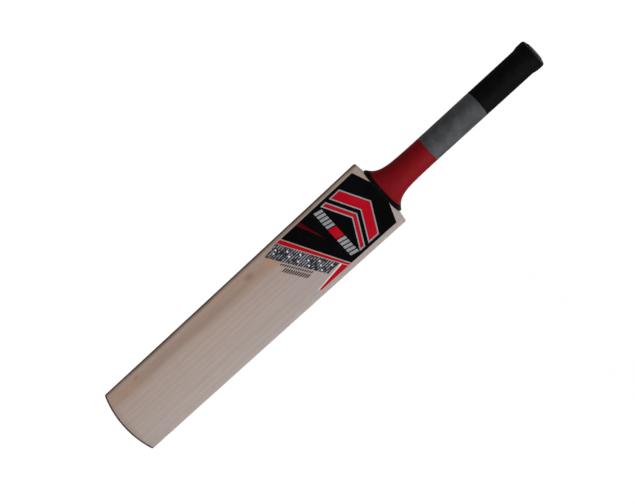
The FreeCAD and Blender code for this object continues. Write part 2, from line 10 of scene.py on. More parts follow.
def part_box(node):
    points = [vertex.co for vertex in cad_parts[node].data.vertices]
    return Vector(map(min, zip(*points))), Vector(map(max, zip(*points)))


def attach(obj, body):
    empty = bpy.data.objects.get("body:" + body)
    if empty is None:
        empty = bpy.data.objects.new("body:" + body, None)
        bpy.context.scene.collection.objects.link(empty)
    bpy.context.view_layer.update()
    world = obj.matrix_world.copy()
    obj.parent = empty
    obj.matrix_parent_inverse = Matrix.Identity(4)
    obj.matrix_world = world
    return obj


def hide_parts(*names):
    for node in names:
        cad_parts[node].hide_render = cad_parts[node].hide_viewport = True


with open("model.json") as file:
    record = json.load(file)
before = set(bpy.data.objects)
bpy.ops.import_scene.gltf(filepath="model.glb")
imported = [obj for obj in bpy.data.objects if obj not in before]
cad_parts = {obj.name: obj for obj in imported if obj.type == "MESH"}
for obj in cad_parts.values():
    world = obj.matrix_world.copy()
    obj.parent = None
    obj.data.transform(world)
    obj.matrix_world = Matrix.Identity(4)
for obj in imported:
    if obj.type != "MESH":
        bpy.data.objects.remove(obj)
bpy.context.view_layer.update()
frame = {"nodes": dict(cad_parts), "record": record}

# A full-size cricket bat that stands on its toe, in metres.
# +Z runs up the bat, -Y is the hitting face and X runs across.

NODES = frame["nodes"]
MM = 0.001


def middle_of(node, axis):
    low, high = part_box(node)
    return (low[axis] + high[axis]) / 2


HANDLE_Y = middle_of("end_cap", 1)
BAT_MIDDLE = Vector((0, 0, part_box("end_cap")[1][2] / 2))
BLADE_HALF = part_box("blade")[1][0]


# ---- node helpers ----

def add(tree, kind, values=None, **settings):
    """One node with its settings; a value that is another node's output is wired in."""
    made = tree.nodes.new(kind)
    for setting, value in settings.items():
        setattr(made, setting, value)
    for socket, value in (values or {}).items():
        if isinstance(value, bpy.types.NodeSocket):
            tree.links.new(value, made.inputs[socket])
        else:
            made.inputs[socket].default_value = value
    return made


def calc(tree, operation, first, second=0.0, third=0.0):
    """One step of arithmetic."""
    return add(tree, "ShaderNodeMath", {0: first, 1: second, 2: third}, operation=operation).outputs[0]


def fade(tree, value, start, end, low=0.0, high=1.0):
    """A soft step from low to high while the value goes from start to end."""
    values = {"Value": value, "From Min": start, "From Max": end, "To Min": low, "To Max": high}
    return add(tree, "ShaderNodeMapRange", values, interpolation_type="SMOOTHSTEP").outputs["Result"]


def mix(tree, share, first, second):
    """The first colour, with that share of it covered by the second."""
    made = add(tree, "ShaderNodeMix", data_type="RGBA")
    for socket, value in ((0, share), (6, first), (7, second)):
        if isinstance(value, bpy.types.NodeSocket):
            tree.links.new(value, made.inputs[socket])
        else:
            made.inputs[socket].default_value = value
    return made.outputs[2]


def stretched(tree, place, scale, turn=(0, 0, 0)):
    """Coordinates turned and scaled by a different amount along each axis."""
    values = {"Vector": place, "Rotation": turn, "Scale": scale}
    return add(tree, "ShaderNodeMapping", values).outputs[0]


def noise(tree, place, scale, detail=2.0, rough=0.5):
    """Soft irregular values between 0 and 1."""
    values = {"Vector": place, "Scale": scale, "Detail": detail, "Roughness": rough}
    return add(tree, "ShaderNodeTexNoise", values).outputs[0]


def new_group(name, inputs, outputs):
    """A shader group with named sockets; inputs are (name, kind, value) and outputs (name, kind)."""
    tree = bpy.data.node_groups.new(name, "ShaderNodeTree")
    for label, kind, value in inputs:
        socket = tree.interface.new_socket(label, in_out="INPUT", socket_type="NodeSocket" + kind)
        if value is not None:
            socket.default_value = value
    for label, kind in outputs:
        tree.interface.new_socket(label, in_out="OUTPUT", socket_type="NodeSocket" + kind)
    start = tree.nodes.new("NodeGroupInput")
    end = tree.nodes.new("NodeGroupOutput")
    return tree, start.outputs, end.inputs


def use(tree, group, values):
    """Places a shader group in a material and gives back its outputs."""
    made = tree.nodes.new("ShaderNodeGroup")
    made.node_tree = group
    for socket, value in values.items():
        if isinstance(value, bpy.types.NodeSocket):
            tree.links.new(value, made.inputs[socket])
        else:
            made.inputs[socket].default_value = value
    return made.outputs


# ---- effects shared by several materials ----

def wood_grain_group():
    """Straight growth rings across X, fine fibres along Z and slow changes of tone."""
    inputs = [("Place", "Vector", None), ("Ring Pitch", "Float", 0.007), ("Wander", "Float", 0.004),
              ("Fibres", "Float", 900.0)]
    outputs = [("Rings", "Float"), ("Fibres", "Float"), ("Tone", "Float"), ("Pores", "Float")]
    tree, given, result = new_group("wood_grain", inputs, outputs)
    place = given["Place"]
    parts = add(tree, "ShaderNodeSeparateXYZ", {0: place}).outputs
    slow = noise(tree, stretched(tree, place, (18, 18, 1.6)), 1.0, 2.0)
    drift = calc(tree, "MULTIPLY", calc(tree, "SUBTRACT", slow, 0.5), given["Wander"])
    across = calc(tree, "MULTIPLY_ADD", parts[1], 0.09, parts[0])
    across = calc(tree, "ADD", across, drift)
    uneven = noise(tree, stretched(tree, place, (70, 4, 0.5)), 1.0, 1.0)
    count = calc(tree, "DIVIDE", across, given["Ring Pitch"])
    count = calc(tree, "ADD", count, calc(tree, "MULTIPLY", uneven, 1.4))
    phase = calc(tree, "FRACT", count)
    late = fade(tree, phase, 0.35, 0.93)
    end = fade(tree, phase, 0.94, 0.995, 1.0, 0.0)
    tree.links.new(calc(tree, "MULTIPLY", late, end), result["Rings"])
    along_fibre = {0: place, 1: (1.0, 1.0, 0.014)}
    fine = add(tree, "ShaderNodeVectorMath", along_fibre, operation="MULTIPLY").outputs[0]
    tree.links.new(noise(tree, fine, given["Fibres"], 4.0, 0.6), result["Fibres"])
    tree.links.new(noise(tree, stretched(tree, place, (26, 22, 2.4)), 1.0, 3.0), result["Tone"])
    pores = noise(tree, stretched(tree, place, (1500, 1500, 60)), 1.0, 1.0)
    tree.links.new(fade(tree, pores, 0.66, 0.78), result["Pores"])
    return tree


def handling_group():
    """Soft patches, small specks and hair scratches left by use."""
    inputs = [("Place", "Vector", None), ("Patch Scale", "Float", 30.0), ("Speck Scale", "Float", 900.0)]
    outputs = [("Patches", "Float"), ("Specks", "Float"), ("Scratches", "Float")]
    tree, given, result = new_group("handling_marks", inputs, outputs)
    place = given["Place"]
    tree.links.new(noise(tree, place, given["Patch Scale"], 3.0, 0.55), result["Patches"])
    specks = noise(tree, place, given["Speck Scale"], 2.0, 0.6)
    tree.links.new(fade(tree, specks, 0.60, 0.74), result["Specks"])
    hair = noise(tree, stretched(tree, place, (160, 160, 1400), (0.3, 0.9, 0.2)), 1.0, 1.0)
    where = noise(tree, place, 55.0, 1.0)
    hair = calc(tree, "MULTIPLY", fade(tree, hair, 0.70, 0.78), fade(tree, where, 0.50, 0.66))
    tree.links.new(hair, result["Scratches"])
    return tree


def moulded_skin_group():
    """The fine pebbled skin of moulded rubber and soft vinyl."""
    inputs = [("Place", "Vector", None), ("Pebbles", "Float", 2600.0)]
    tree, given, result = new_group("moulded_skin", inputs, [("Height", "Float"), ("Dust", "Float")])
    cells = add(tree, "ShaderNodeTexVoronoi", {"Vector": given["Place"], "Scale": given["Pebbles"]},
                feature="SMOOTH_F1").outputs["Distance"]
    fine = noise(tree, given["Place"], 5200.0, 2.0)
    height = calc(tree, "MULTIPLY_ADD", fine, 0.35, calc(tree, "SUBTRACT", 1.0, cells))
    tree.links.new(height, result["Height"])
    dust = noise(tree, given["Place"], 420.0, 4.0, 0.65)
    tree.links.new(fade(tree, dust, 0.52, 0.75), result["Dust"])
    return tree


def weave_group():
    """Plain weave: warp and weft threads that pass over each other by turns."""
    inputs = [("Place", "Vector", None), ("Threads", "Float", 1500.0)]
    tree, given, result = new_group("plain_weave", inputs, [("Height", "Float"), ("Gaps", "Float")])
    threads = {0: given["Place"], 3: given["Threads"]}
    scaled = add(tree, "ShaderNodeVectorMath", threads, operation="SCALE").outputs[0]
    parts = add(tree, "ShaderNodeSeparateXYZ", {0: scaled}).outputs
    warp = calc(tree, "ABSOLUTE", calc(tree, "SINE", calc(tree, "MULTIPLY", parts[0], math.pi)))
    weft = calc(tree, "ABSOLUTE", calc(tree, "SINE", calc(tree, "MULTIPLY", parts[1], math.pi)))
    turns = calc(tree, "ADD", calc(tree, "FLOOR", parts[0]), calc(tree, "FLOOR", parts[1]))
    over = calc(tree, "MODULO", calc(tree, "ABSOLUTE", turns), 2.0)
    under = calc(tree, "SUBTRACT", 1.0, over)
    height = calc(tree, "ADD", calc(tree, "MULTIPLY", warp, over), calc(tree, "MULTIPLY", weft, under))
    tree.links.new(height, result["Height"])
    # Gaps is 1 between the threads, where materials paint shade into the colour.
    tree.links.new(fade(tree, height, 0.45, 0.05), result["Gaps"])
    return tree


WOOD_GRAIN = wood_grain_group()
HANDLING = handling_group()
MOULDED_SKIN = moulded_skin_group()
WEAVE = weave_group()


# ---- materials ----

def new_material(name):
    """An empty material: its node tree, its Principled shader and its Object coordinates."""
    material = bpy.data.materials.new(name)
    material.use_nodes = True
    tree = material.node_tree
    shader = tree.nodes["Principled BSDF"]
    place = add(tree, "ShaderNodeTexCoord").outputs["Object"]
    return material, tree, shader, place


def raise_surface(tree, shader, height, depth, strength=1.0):
    """Fine relief of the given depth in metres, felt by the shader's normal."""
    values = {"Strength": strength, "Distance": depth, "Height": height}
    bump = add(tree, "ShaderNodeBump", values)
    tree.links.new(bump.outputs[0], shader.inputs["Normal"])


HEART_WOOD = (0.575, 0.448, 0.390, 1)
SAP_WOOD = (0.592, 0.524, 0.512, 1)
BROWN_WOOD = (0.470, 0.330, 0.262, 1)
RING_WOOD = (0.430, 0.310, 0.245, 1)
DEEP_WOOD = (0.515, 0.405, 0.345, 1)
DULL_WOOD = (0.360, 0.265, 0.232, 1)
PALE_FIBRE = (0.690, 0.585, 0.500, 1)
DARK_FIBRE = (0.410, 0.300, 0.235, 1)
PORE = (0.270, 0.180, 0.130, 1)
LOW_STREAK = (0.330, 0.232, 0.180, 1)
HIGH_STREAK = (0.420, 0.225, 0.120, 1)
GREEN_CORNER = (0.400, 0.385, 0.300, 1)
RUBBED_WOOD = (0.400, 0.290, 0.215, 1)
# The next two colours are painted shade along the -X edge of the face: a soft band and a darker thin line.
EDGE_SHADE_WOOD = (0.190, 0.125, 0.092, 1)
EDGE_SHADOW_LINE = (0.085, 0.050, 0.036, 1)
TOE_GRIME = (0.330, 0.245, 0.185, 1)
SPECK = (0.330, 0.240, 0.180, 1)

# Warm stains and small knots of the willow: where, how far across and along, how strong, which colour.
WILLOW_STAINS = (
    ((-0.038, -0.026, 0.304), (0.0065, 0.0130), 0.60, (0.330, 0.140, 0.090, 1)),
    ((-0.041, -0.026, 0.066), (0.0030, 0.0060), 0.55, (0.340, 0.160, 0.110, 1)),
    ((-0.033, -0.026, 0.352), (0.0130, 0.0300), 0.75, (0.640, 0.345, 0.185, 1)),
    ((-0.035, -0.026, 0.040), (0.0120, 0.0560), 0.42, (0.540, 0.335, 0.215, 1)),
    ((-0.030, -0.026, 0.215), (0.0060, 0.0900), 0.30, (0.420, 0.270, 0.200, 1)),
    ((-0.046, -0.026, 0.270), (0.0100, 0.0600), 0.35, (0.560, 0.340, 0.215, 1)),
)


def grained_willow(tree, grain, across, along):
    """Paler sapwood towards +X and a brown heart side, with rings, fibres and pores."""
    colour = mix(tree, fade(tree, across, -0.030, 0.052), HEART_WOOD, SAP_WOOD)
    wavy = calc(tree, "MULTIPLY_ADD", grain["Tone"], 0.020, across)
    brown = fade(tree, wavy, -0.008, -0.026, 0.0, 0.80)
    brown = calc(tree, "MULTIPLY", brown, fade(tree, along, 0.45, 0.36, 0.45, 1.0))
    colour = mix(tree, brown, colour, BROWN_WOOD)
    colour = mix(tree, calc(tree, "MULTIPLY", grain["Rings"], 0.25), colour, RING_WOOD)
    colour = mix(tree, fade(tree, grain["Tone"], 0.40, 0.68, 0.0, 0.42), colour, DEEP_WOOD)
    colour = mix(tree, fade(tree, grain["Fibres"], 0.45, 0.75, 0.0, 0.30), colour, PALE_FIBRE)
    colour = mix(tree, fade(tree, grain["Fibres"], 0.48, 0.25, 0.0, 0.30), colour, DARK_FIBRE)
    return mix(tree, calc(tree, "MULTIPLY", grain["Pores"], 0.20), colour, PORE)


def streaked_willow(tree, place, grain, across, along, colour):
    """Adds a wandering streak of dark heartwood near the -X edge, redder towards the labels."""
    wobble = noise(tree, stretched(tree, place, (30, 10, 7)), 1.0, 3.0)
    wobble = calc(tree, "MULTIPLY", calc(tree, "SUBTRACT", wobble, 0.5), 0.012)
    beside = calc(tree, "ADD", across, wobble)
    beside = calc(tree, "MULTIPLY_ADD", along, -0.022, beside)
    away = calc(tree, "ABSOLUTE", calc(tree, "ADD", beside, 0.038))
    streak = fade(tree, away, 0.0120, 0.0020)
    reach = calc(tree, "MULTIPLY", fade(tree, along, 0.03, 0.08), fade(tree, along, 0.420, 0.380))
    streak = calc(tree, "MULTIPLY", streak, reach)
    streak = calc(tree, "MULTIPLY", streak, fade(tree, grain["Fibres"], 0.30, 0.62, 0.35, 0.85))
    stain = mix(tree, fade(tree, along, 0.20, 0.36), LOW_STREAK, HIGH_STREAK)
    return mix(tree, calc(tree, "MULTIPLY", streak, 0.45), colour, stain)


def stain_at(tree, place, spot, reach, tone):
    """1 at a spot on the face, falling unevenly to 0 at its reach across and along the bat."""
    away = add(tree, "ShaderNodeVectorMath", {0: place, 1: spot}, operation="SUBTRACT").outputs[0]
    away = stretched(tree, away, (1 / reach[0], 10.0, 1 / reach[1]))
    away = add(tree, "ShaderNodeVectorMath", {0: away}, operation="LENGTH").outputs["Value"]
    uneven = calc(tree, "MULTIPLY_ADD", tone, 1.2, calc(tree, "SUBTRACT", away, 0.6))
    return fade(tree, uneven, 1.0, 0.15)


def stained_willow(tree, place, grain, along, colour):
    """Adds the warm stains and knots, and dulls the wood towards the shoulders."""
    for spot, reach, share, stain in WILLOW_STAINS:
        mask = calc(tree, "MULTIPLY", stain_at(tree, place, spot, reach, grain["Tone"]), share)
        colour = mix(tree, mask, colour, stain)
    return mix(tree, fade(tree, along, 0.12, 0.45, 0.0, 0.28), colour, DULL_WOOD)


def worn_and_shaded_willow(tree, marks, across, depth, along, colour):
    """Adds a greenish corner, rubbed edges, painted shade and a painted shadow line along the -X edge of the
    face, a grubby toe and small specks.
    """
    patches = marks["Patches"]
    corner = calc(tree, "MULTIPLY", fade(tree, across, 0.020, 0.054), fade(tree, along, 0.065, 0.004))
    colour = mix(tree, calc(tree, "MULTIPLY", corner, 0.45), colour, GREEN_CORNER)
    beside_edge = fade(tree, calc(tree, "ABSOLUTE", across), BLADE_HALF - 3.5 * MM, BLADE_HALF)
    rubbed = calc(tree, "MULTIPLY", beside_edge, patches)
    colour = mix(tree, calc(tree, "MULTIPLY", rubbed, 0.55), colour, RUBBED_WOOD)
    on_face = fade(tree, depth, -18 * MM, -22 * MM)
    # Painted shade: a soft dark band along the -X edge of the face, where the rounded edge turns away from
    # the light.
    edge_shade = fade(tree, across, 6.8 * MM - BLADE_HALF, 2.6 * MM - BLADE_HALF)
    edge_shade = calc(tree, "MULTIPLY", edge_shade, on_face)
    edge_shade = calc(tree, "MULTIPLY", edge_shade, fade(tree, patches, 0.25, 0.65, 0.35, 0.85))
    colour = mix(tree, edge_shade, colour, EDGE_SHADE_WOOD)
    # Painted shadow: a darker thin line right at the -X edge of the face.
    edge_shadow = fade(tree, across, 3.6 * MM - BLADE_HALF, 1.2 * MM - BLADE_HALF)
    edge_shadow = calc(tree, "MULTIPLY", edge_shadow, on_face)
    colour = mix(tree, calc(tree, "MULTIPLY", edge_shadow, 0.92), colour, EDGE_SHADOW_LINE)
    toe = calc(tree, "MULTIPLY", fade(tree, along, 0.016, 0.003), fade(tree, patches, 0.35, 0.65))
    colour = mix(tree, calc(tree, "MULTIPLY", toe, 0.40), colour, TOE_GRIME)
    return mix(tree, calc(tree, "MULTIPLY", marks["Specks"], 0.12), colour, SPECK)


def willow():
    """Sanded, lightly oiled willow with straight grain, warm stains, the marks of use and painted shade along
    the -X edge of the face.
    """
    material, tree, shader, place = new_material("oiled_willow")
    fibres = {"Place": place, "Ring Pitch": 0.0088, "Wander": 0.006, "Fibres": 1150.0}
    grain = use(tree, WOOD_GRAIN, fibres)
    marks = use(tree, HANDLING, {"Place": place, "Patch Scale": 14.0, "Speck Scale": 700.0})
    across, depth, along = add(tree, "ShaderNodeSeparateXYZ", {0: place}).outputs
    colour = grained_willow(tree, grain, across, along)
    colour = streaked_willow(tree, place, grain, across, along, colour)
    colour = stained_willow(tree, place, grain, along, colour)
    colour = worn_and_shaded_willow(tree, marks, across, depth, along, colour)
    tree.links.new(colour, shader.inputs["Base Color"])
    rough = fade(tree, grain["Fibres"], 0.25, 0.75, 0.46, 0.62)
    rough = calc(tree, "MULTIPLY_ADD", marks["Patches"], 0.10, rough)
    tree.links.new(rough, shader.inputs["Roughness"])
    shader.inputs["Specular IOR Level"].default_value = 0.30
    height = calc(tree, "MULTIPLY_ADD", grain["Rings"], 0.5, grain["Fibres"])
    height = calc(tree, "MULTIPLY_ADD", marks["Scratches"], -0.5, height)
    raise_surface(tree, shader, height, 0.08 * MM, 0.8)
    return material


def cane():
    """Planed cane, with close straight fibres and darker bundles; each strip has its own tone."""
    material, tree, shader, place = new_material("planed_cane")
    grain = use(tree, WOOD_GRAIN, {"Place": place, "Ring Pitch": 0.0023, "Wander": 0.001, "Fibres": 1700.0})
    strips = noise(tree, stretched(tree, place, (88, 110, 0.4)), 1.0, 0.0)
    colour = mix(tree, fade(tree, strips, 0.35, 0.65), (0.580, 0.445, 0.330, 1), (0.500, 0.365, 0.255, 1))
    colour = mix(tree, fade(tree, grain["Fibres"], 0.42, 0.70, 0.0, 0.55), colour, (0.400, 0.275, 0.180, 1))
    colour = mix(tree, calc(tree, "MULTIPLY", grain["Pores"], 0.5), colour, (0.160, 0.090, 0.045, 1))
    tree.links.new(colour, shader.inputs["Base Color"])
    tree.links.new(fade(tree, grain["Fibres"], 0.3, 0.7, 0.42, 0.60), shader.inputs["Roughness"])
    shader.inputs["Specular IOR Level"].default_value = 0.30
    raise_surface(tree, shader, grain["Fibres"], 0.08 * MM)
    return material


def rubber(name, base, worn, share, gloss, shine=0.15, follow_piece=True):
    """Moulded rubber: pebbled skin, soft patches where hands have rubbed it, dust in the hollows."""
    material, tree, shader, place = new_material(name)
    if follow_piece:
        place = add(tree, "ShaderNodeUVMap", uv_map="wrap").outputs[0]
    skin = use(tree, MOULDED_SKIN, {"Place": place, "Pebbles": 2400.0})
    marks = use(tree, HANDLING, {"Place": place, "Patch Scale": 48.0, "Speck Scale": 1300.0})
    colour = mix(tree, fade(tree, marks["Patches"], 0.38, 0.66, 0.0, share), base, worn)
    colour = mix(tree, calc(tree, "MULTIPLY", skin["Dust"], share * 0.5), colour, worn)
    colour = mix(tree, calc(tree, "MULTIPLY", marks["Specks"], 0.22), colour, worn)
    tree.links.new(colour, shader.inputs["Base Color"])
    rough = fade(tree, marks["Patches"], 0.30, 0.70, gloss, gloss + 0.16)
    rough = calc(tree, "MULTIPLY_ADD", skin["Dust"], 0.08, rough)
    tree.links.new(rough, shader.inputs["Roughness"])
    shader.inputs["Specular IOR Level"].default_value = shine
    height = calc(tree, "MULTIPLY_ADD", marks["Scratches"], -0.6, skin["Height"])
    raise_surface(tree, shader, height, 0.12 * MM, 0.7)
    return material


def cloth_tape():
    """Matt black cotton tape wound round the neck."""
    material, tree, shader, place = new_material("black_cloth_tape")
    place = add(tree, "ShaderNodeUVMap", uv_map="wrap").outputs[0]
    cloth = use(tree, WEAVE, {"Place": place, "Threads": 1800.0})
    marks = use(tree, HANDLING, {"Place": place, "Patch Scale": 90.0, "Speck Scale": 1500.0})
    # The gaps between threads are painted darker: painted shade.
    colour = mix(tree, cloth["Gaps"], (0.0045, 0.0045, 0.005, 1), (0.0015, 0.0015, 0.0015, 1))
    colour = mix(tree, fade(tree, marks["Patches"], 0.45, 0.75, 0.0, 0.5), colour, (0.010, 0.010, 0.0095, 1))
    colour = mix(tree, calc(tree, "MULTIPLY", marks["Specks"], 0.25), colour, (0.060, 0.056, 0.050, 1))
    tree.links.new(colour, shader.inputs["Base Color"])
    tree.links.new(fade(tree, cloth["Height"], 0.0, 1.0, 0.95, 0.78), shader.inputs["Roughness"])
    shader.inputs["Specular IOR Level"].default_value = 0.05
    raise_surface(tree, shader, cloth["Height"], 0.2 * MM)
    return material


TWINE_PITCH = 1.1 * MM


def twine():
    """Waxed thread wound closely round the cane: one groove for each turn, with painted shade in each groove.
    """
    material, tree, shader, place = new_material("waxed_twine")
    parts = add(tree, "ShaderNodeSeparateXYZ", {0: place}).outputs
    turn = calc(tree, "FRACT", calc(tree, "DIVIDE", parts[2], TWINE_PITCH))
    crown = calc(tree, "SINE", calc(tree, "MULTIPLY", turn, math.pi))
    marks = use(tree, HANDLING, {"Place": place, "Patch Scale": 60.0, "Speck Scale": 1400.0})
    # The colour runs from dark in each groove to pale on each crown: painted shade between the turns.
    colour = mix(tree, crown, (0.230, 0.180, 0.110, 1), (0.600, 0.520, 0.390, 1))
    colour = mix(tree, calc(tree, "MULTIPLY", marks["Patches"], 0.35), colour, (0.420, 0.330, 0.220, 1))
    tree.links.new(colour, shader.inputs["Base Color"])
    tree.links.new(fade(tree, marks["Patches"], 0.3, 0.7, 0.55, 0.75), shader.inputs["Roughness"])
    raise_surface(tree, shader, crown, 0.3 * MM)
    return material


def vinyl(name, base, faded, gloss=0.42, metal=0.0, shine=0.12, pattern=None):
    """Printed vinyl: ink slightly uneven, hair scratches, a trace of dust; pattern adds a printed motif."""
    material, tree, shader, place = new_material(name)
    skin = use(tree, MOULDED_SKIN, {"Place": place, "Pebbles": 3100.0})
    marks = use(tree, HANDLING, {"Place": place, "Patch Scale": 38.0, "Speck Scale": 1600.0})
    colour = pattern(tree, place) if pattern else base
    colour = mix(tree, fade(tree, marks["Patches"], 0.40, 0.70, 0.0, 0.28), colour, faded)
    colour = mix(tree, calc(tree, "MULTIPLY", marks["Scratches"], 0.40), colour, faded)
    colour = mix(tree, calc(tree, "MULTIPLY", marks["Specks"], 0.18), colour, faded)
    tree.links.new(colour, shader.inputs["Base Color"])
    rough = fade(tree, marks["Patches"], 0.30, 0.70, gloss, gloss + 0.14)
    rough = calc(tree, "MULTIPLY_ADD", skin["Dust"], 0.07, rough)
    tree.links.new(rough, shader.inputs["Roughness"])
    shader.inputs["Specular IOR Level"].default_value = shine
    shader.inputs["Metallic"].default_value = metal
    height = calc(tree, "MULTIPLY_ADD", marks["Scratches"], -1.0, skin["Height"])
    raise_surface(tree, shader, height, 0.03 * MM, 0.5)
    return material


HATCH_PITCH = 3.2 * MM


def hatching(tree, place):
    """Slate ink with broken pale lines and thin dark lines that run up the bat."""
    parts = add(tree, "ShaderNodeSeparateXYZ", {0: place}).outputs
    shake = noise(tree, stretched(tree, place, (90, 90, 260)), 1.0, 2.0)
    across = calc(tree, "MULTIPLY_ADD", shake, 0.0012, parts[0])
    phase = calc(tree, "FRACT", calc(tree, "DIVIDE", across, HATCH_PITCH))
    pale = calc(tree, "MULTIPLY", fade(tree, phase, 0.05, 0.22), fade(tree, phase, 0.62, 0.45))
    dark = fade(tree, phase, 0.72, 0.86)
    broken = noise(tree, stretched(tree, place, (300, 300, 190)), 1.0, 2.0)
    pale = calc(tree, "MULTIPLY", pale, fade(tree, broken, 0.40, 0.56))
    colour = mix(tree, calc(tree, "MULTIPLY", pale, 0.85), (0.026, 0.026, 0.038, 1), (0.520, 0.520, 0.560, 1))
    return mix(tree, calc(tree, "MULTIPLY", dark, 0.90), colour, (0.004, 0.004, 0.008, 1))


def red_rubber():
    return rubber("red_grip_rubber", (0.215, 0.0025, 0.006, 1), (0.265, 0.006, 0.010, 1), 0.45, 0.58, 0.10)


def grey_rubber():
    return rubber("grey_grip_rubber", (0.062, 0.063, 0.066, 1), (0.098, 0.101, 0.106, 1), 0.85, 0.55)


def black_rubber():
    base = (0.0025, 0.0025, 0.0027, 1)
    return rubber("black_grip_rubber", base, (0.009, 0.009, 0.0095, 1), 0.40, 0.58, 0.05)


def solid_rubber(name, base, worn, share, gloss, shine):
    """Rubber on a solid that has no wrap coordinates."""
    return rubber(name, base, worn, share, gloss, shine, follow_piece=False)


def end_cap_rubber():
    base = (0.003, 0.003, 0.0033, 1)
    return solid_rubber("end_cap_rubber", base, (0.012, 0.012, 0.012, 1), 0.5, 0.52, 0.06)


def toe_rubber():
    base = (0.100, 0.042, 0.036, 1)
    return solid_rubber("toe_guard_rubber", base, (0.190, 0.115, 0.092, 1), 0.60, 0.62, 0.10)


def spring_rubber():
    base = (0.020, 0.019, 0.018, 1)
    return solid_rubber("spring_rubber", base, (0.050, 0.046, 0.042, 1), 0.5, 0.62, 0.10)


def printed(name, base, faded, shine=0.12):
    """Plain ink of one colour on vinyl."""
    return vinyl(name, base, faded, shine=shine)


def slate_print():
    return vinyl("hatched_slate_ink", None, (0.110, 0.110, 0.125, 1), pattern=hatching)


def silver_print():
    return vinyl("silver_label_ink", (0.430, 0.430, 0.450, 1), (0.560, 0.560, 0.570, 1), 0.36, 0.35)


FINISHES = {
    "willow": willow(),
    "cane": cane(),
    "twine": twine(),
    "neck_tape": cloth_tape(),
    "red_rubber": red_rubber(),
    "grey_rubber": grey_rubber(),
    "black_rubber": black_rubber(),
    "end_cap_rubber": end_cap_rubber(),
    "toe_rubber": toe_rubber(),
    "spring_rubber": spring_rubber(),
    "black_print": printed("black_label_vinyl", (0.0016, 0.0016, 0.0022, 1), (0.006, 0.006, 0.008, 1), 0.04),
    "red_print": printed("red_label_ink", (0.560, 0.002, 0.014, 1), (0.500, 0.020, 0.030, 1), 0.06),
    "dark_red_print": printed("dark_red_label_ink", (0.085, 0.001, 0.006, 1), (0.110, 0.006, 0.012, 1), 0.05),
    "grey_print": printed("grey_label_ink", (0.060, 0.050, 0.055, 1), (0.130, 0.110, 0.105, 1)),
    "pale_print": printed("pale_label_ink", (0.860, 0.850, 0.830, 1), (0.700, 0.690, 0.670, 1)),
    "slate_print": slate_print(),
    "silver_print": silver_print(),
}


# ---- wrapped rubber and tape round the handle ----

GRIP_RADIUS = (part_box("grip_grey")[1][0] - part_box("grip_grey")[0][0]) / 2
# A sleeve's rings: corners round the handle, height of a row, rows of the outside for one of the inside.
AROUND = 232
ROW = 0.55 * MM
INNER_STEP = 8
# The moulded relief: spiral grooves each way, how far one climbs over its own width, how deep it is.
STARTS = 58
GROOVE_CLIMB = 4.4 * MM
GROOVE_DEPTH = 0.16 * MM
# Rows at both ends of a sleeve that stay without relief.
PLAIN_ROWS = 3
RUBBER_WALL = 1.6 * MM
TAPE_WALL = 0.7 * MM
# Rays that find the handle's outside start this far out, and keep this far inside a sleeve's ends.
FAR_OUT = 90 * MM
END_MARGIN = 0.02 * MM


def grip_surface():
    """A search tree over the outside of the tape and the three rubbers."""
    points = []
    faces = []
    for name in ("neck_tape", "grip_red", "grip_grey", "grip_black"):
        mesh = NODES[name].data
        first = len(points)
        points += [vertex.co.copy() for vertex in mesh.vertices]
        faces += [[first + corner for corner in face.vertices] for face in mesh.polygons]
    return BVHTree.FromPolygons(points, faces)


def joint(below, above):
    """Height of the joint between two wraps on the handle's line, and how fast it drops to the back."""
    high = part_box(below)[1][2]
    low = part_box(above)[0][2]
    return (high + low) / 2, (high - low) / 2 / GRIP_RADIUS


def wrap_radius(tree, turn, height):
    """Distance from the handle's line to the outside of the wraps, in one direction."""
    outward = Vector((math.cos(turn), math.sin(turn), 0))
    centre = Vector((0, HANDLE_Y, height))
    well_outside = centre + outward * FAR_OUT
    hit = tree.ray_cast(well_outside, -outward)[0]
    return (hit - centre).length


def wrap(name, tree, low, high, wall, edge, rim=None):
    """A closed sleeve whose outside follows the handle between two (height, drop) joints.

    edge rounds its two ends over that distance; rim, an inner radius, closes the top flat round the end cap.
    """
    rows = max(6, round((high[0] - low[0]) / ROW))
    outer = []
    for row in range(rows + 1):
        share = row / rows
        ring = []
        for step in range(AROUND):
            turn = 2 * math.pi * step / AROUND
            back = GRIP_RADIUS * math.sin(turn)
            bottom = low[0] - low[1] * back
            top = high[0] - high[1] * back
            height = bottom + share * (top - bottom)
            measured = min(max(height, bottom + END_MARGIN), top - END_MARGIN)
            reach = wrap_radius(tree, turn, measured)
            near = min(height - bottom, top - height) if rim is None else height - bottom
            if near < edge:
                reach -= edge - math.sqrt(edge * edge - (edge - near) ** 2)
            ring.append((turn, reach, height))
        outer.append(ring)
    inner = []
    for row in list(range(rows, 0, -INNER_STEP)) + [0]:
        inner.append([(turn, reach - wall, height) for turn, reach, height in outer[row]])
    if rim is not None:
        inner[0] = [(turn, rim, height) for turn, reach, height in outer[-1]]
    return closed_sleeve(name, outer, inner, low[0])


